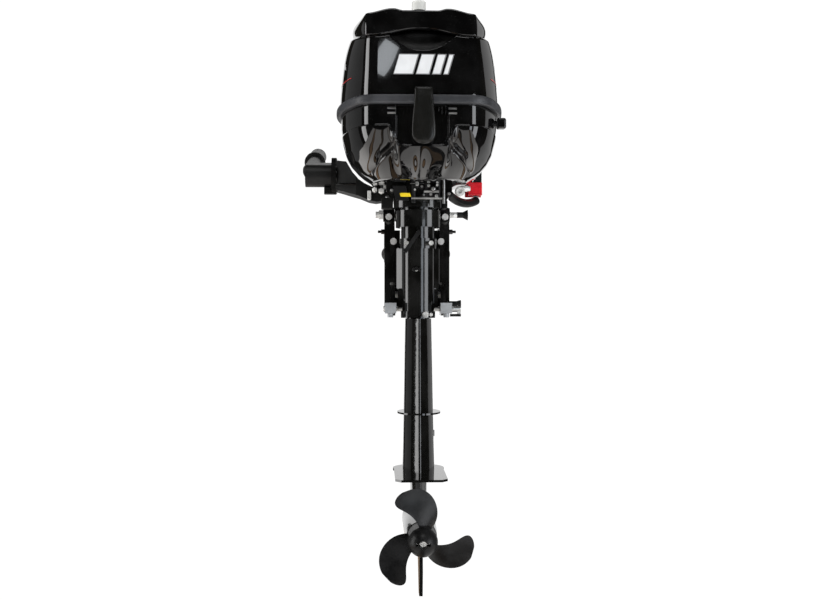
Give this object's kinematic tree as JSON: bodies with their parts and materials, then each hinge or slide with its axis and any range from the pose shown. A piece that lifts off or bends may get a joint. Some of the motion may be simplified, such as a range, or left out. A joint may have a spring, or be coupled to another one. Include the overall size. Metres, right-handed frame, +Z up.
{
  "type": "outboard motor",
  "caption": "Portable short-shaft outboard motor with transom clamp, swivel, tiller, cowled engine, drive leg and propeller.",
  "frame": {"origin": "middle of the transom's top edge, at its aft face: the underside of the clamp's hook, in the plane of the clamp's aft flange", "axes": "+X to starboard, +Y forward towards the boat, +Z up"},
  "size_m": [0.372, 0.7324, 1.029],
  "materials": {
    "castings": "gloss black paint on aluminium castings",
    "leg_paint": "gloss black paint over aluminium",
    "cowl_gloss": "gloss black moulded cowl",
    "rubber_seal": "matte dark grey rubber",
    "matte_black": "matte black moulded plastic",
    "propeller": "satin black composite",
    "stainless": "bright stainless steel",
    "anode": "dull grey cast zinc alloy",
    "steel": "machined steel",
    "raw_aluminium": "bare cast aluminium",
    "white_plastic": "off-white moulded plastic",
    "red_plastic": "red moulded plastic",
    "tank": "milky moulded tank plastic",
    "bush": "pale nylon bush",
    "hose": "black rubber hose and lead"
  },
  "bodies": {
    "clamp": {"clamp_bracket_port": "castings", "clamp_bracket_starboard": "castings", "bracket_hardware": "stainless", "transom_anodes": "anode", "tilt_bolt": "stainless"},
    "port_pad": {"clamp_pad_port": "steel"},
    "port_screw": {"clamp_screw_port": "stainless"},
    "starboard_pad": {"clamp_pad_starboard": "steel"},
    "starboard_screw": {"clamp_screw_starboard": "stainless"},
    "thrust_rod": {"thrust_rod": "stainless"},
    "tilt_lock": {"tilt_lock_knob": "matte_black"},
    "swivel": {"swivel_bracket": "castings", "swivel_bushings": "bush", "swivel_fittings": "stainless"},
    "friction_lever": {"steering_friction_lever": "matte_black"},
    "motor": {"drive_shaft_housing": "leg_paint", "gearcase": "leg_paint", "water_pump_housing": "raw_aluminium", "bearing_carrier": "raw_aluminium", "engine_base": "castings", "engine_block": "raw_aluminium", "piston": "raw_aluminium", "cylinder_head": "raw_aluminium", "recoil_housing": "matte_black", "fuel_tank": "tank", "carburetor": "raw_aluminium", "ignition_coil": "matte_black", "spark_plug": "steel", "spark_plug_lead": "hose", "fuel_hose": "hose", "lower_cowl": "cowl_gloss", "cowl_seal": "rubber_seal", "tiller_bracket": "castings", "tiller_pivot_bolt": "stainless", "stop_switch": "matte_black", "carry_handle": "matte_black"},
    "crank": {"crankshaft": "steel", "flywheel": "steel", "drive_shaft": "steel", "impeller": "hose"},
    "prop": {"propeller": "propeller", "prop_shaft": "stainless", "forward_gear": "steel"},
    "clutch": {"clutch_dog": "steel"},
    "shift_rod": {"shift_rod": "steel"},
    "shift_lever": {"shift_lever": "matte_black"},
    "reel": {"starter_reel": "white_plastic"},
    "recoil": {"recoil_handle": "matte_black"},
    "upper_cowl": {"top_cowl": "cowl_gloss", "top_cap": "cowl_gloss"},
    "latch": {"cowl_latch": "matte_black"},
    "filler_cap": {"fuel_cap": "matte_black"},
    "vent": {"vent_knob": "white_plastic"},
    "tiller": {"tiller_arm": "matte_black"},
    "grip": {"throttle_grip": "matte_black"},
    "choke": {"choke_knob": "matte_black"},
    "fuel_cock": {"fuel_cock_lever": "matte_black"},
    "stop_button": {"stop_button": "red_plastic"},
    "stop_clip": {"stop_clip": "red_plastic"}
  },
  "joints": [
    {"name": "tilt", "type": "hinge", "parent": "clamp", "child": "swivel", "pos_m": [0, 0.02, 0.027], "axis": [-1, 0, 0], "range_deg": [0, 60]},
    {"name": "steering", "type": "hinge", "parent": "swivel", "child": "motor", "pos_m": [0, -0.055, 0], "axis": [0, 0, 1], "range_deg": [-180, 180]},
    {"name": "port_clamp_turn", "type": "hinge", "parent": "port_pad", "child": "port_screw", "pos_m": [-0.05, 0.1, -0.045], "axis": [0, 1, 0], "range_deg": [-1801, 901]},
    {"name": "port_clamp_travel", "type": "slide", "parent": "clamp", "child": "port_pad", "axis": [0, 1, 0], "range_m": [-0.015, 0.0075]},
    {"name": "starboard_clamp_turn", "type": "hinge", "parent": "starboard_pad", "child": "starboard_screw", "pos_m": [0.05, 0.1, -0.045], "axis": [0, 1, 0], "range_deg": [-1801, 901]},
    {"name": "starboard_clamp_travel", "type": "slide", "parent": "clamp", "child": "starboard_pad", "axis": [0, 1, 0], "range_m": [-0.015, 0.0075]},
    {"name": "thrust_rod_pull", "type": "slide", "parent": "clamp", "child": "thrust_rod", "axis": [1, 0, 0], "range_m": [0, 0.125]},
    {"name": "tilt_lock_pull", "type": "slide", "parent": "clamp", "child": "tilt_lock", "axis": [1, 0, 0], "range_m": [0, 0.01], "stiffness_N_per_m": 300, "springref_m": -0.004},
    {"name": "steering_friction", "type": "hinge", "parent": "swivel", "child": "friction_lever", "pos_m": [0, -0.101, -0.012], "axis": [0, 1, 0], "range_deg": [-35, 35]},
    {"name": "crank_spin", "type": "hinge", "parent": "motor", "child": "crank", "pos_m": [0, -0.055, 0], "axis": [0, 0, 1], "continuous": true},
    {"name": "propeller_spin", "type": "hinge", "parent": "motor", "child": "prop", "pos_m": [0, -0.228, -0.526], "axis": [0, 1, 0], "continuous": true},
    {"name": "shift_rod_lift", "type": "slide", "parent": "motor", "child": "shift_rod", "axis": [0, 0, -1], "range_m": [0, 0.006]},
    {"name": "clutch_slide", "type": "slide", "parent": "prop", "child": "clutch", "axis": [0, -1, 0], "range_m": [0, 0.006]},
    {"name": "gear_shift", "type": "hinge", "parent": "motor", "child": "shift_lever", "pos_m": [0.118, 0.03, 0.15], "axis": [1, 0, 0], "range_deg": [0, 24]},
    {"name": "starter_pull", "type": "slide", "parent": "motor", "child": "recoil", "axis": [0, 1, 0], "range_m": [0, 0.1], "stiffness_N_per_m": 30, "springref_m": -0.05},
    {"name": "reel_spin", "type": "hinge", "parent": "motor", "child": "reel", "pos_m": [0, -0.055, 0.233], "axis": [0, 0, 1], "range_deg": [0, 140]},
    {"name": "cowl_lift", "type": "slide", "parent": "motor", "child": "upper_cowl", "axis": [0, 0, 1], "range_m": [0, 0.16]},
    {"name": "latch_swing", "type": "hinge", "parent": "motor", "child": "latch", "pos_m": [0, -0.247, 0.132], "axis": [1, 0, 0], "range_deg": [0, 75]},
    {"name": "fuel_cap_turn", "type": "hinge", "parent": "motor", "child": "filler_cap", "pos_m": [0, -0.09, 0.36], "axis": [0, 0, 1], "range_deg": [0, 90]},
    {"name": "vent_turn", "type": "hinge", "parent": "filler_cap", "child": "vent", "pos_m": [0, -0.09, 0.39], "axis": [0, 0, 1], "range_deg": [0, 180]},
    {"name": "tiller_fold", "type": "hinge", "parent": "motor", "child": "tiller", "pos_m": [-0.183, 0.03, 0.1], "axis": [1, 0, 0], "range_deg": [0, 78]},
    {"name": "throttle_twist", "type": "hinge", "parent": "tiller", "child": "grip", "pos_m": [-0.204, 0.03, 0.1], "axis": [0, 0.9781, 0.2079], "range_deg": [0, 90]},
    {"name": "choke_pull", "type": "slide", "parent": "motor", "child": "choke", "axis": [0, 1, 0], "range_m": [0, 0.02]},
    {"name": "fuel_cock_turn", "type": "hinge", "parent": "motor", "child": "fuel_cock", "pos_m": [0.138, -0.158, 0.17], "axis": [1, 0, 0], "range_deg": [0, 90]},
    {"name": "stop_press", "type": "slide", "parent": "motor", "child": "stop_button", "axis": [0, -1, 0], "range_m": [0, 0.002], "stiffness_N_per_m": 400, "springref_m": -0.002},
    {"name": "stop_clip_pull", "type": "slide", "parent": "motor", "child": "stop_clip", "axis": [0, 0, -1], "range_m": [0, 0.03]}
  ],
  "couplings": [
    {"joint": "port_clamp_turn", "follows": "port_clamp_travel", "rad_per_m": 2094.4},
    {"joint": "starboard_clamp_turn", "follows": "starboard_clamp_travel", "rad_per_m": 2094.4},
    {"joint": "propeller_spin", "follows": "crank_spin", "ratio": -0.46429},
    {"joint": "gear_shift", "follows": "shift_rod_lift", "rad_per_m": 69.743},
    {"joint": "clutch_slide", "follows": "shift_rod_lift", "ratio": 1},
    {"joint": "reel_spin", "follows": "starter_pull", "rad_per_m": 24}
  ]
}
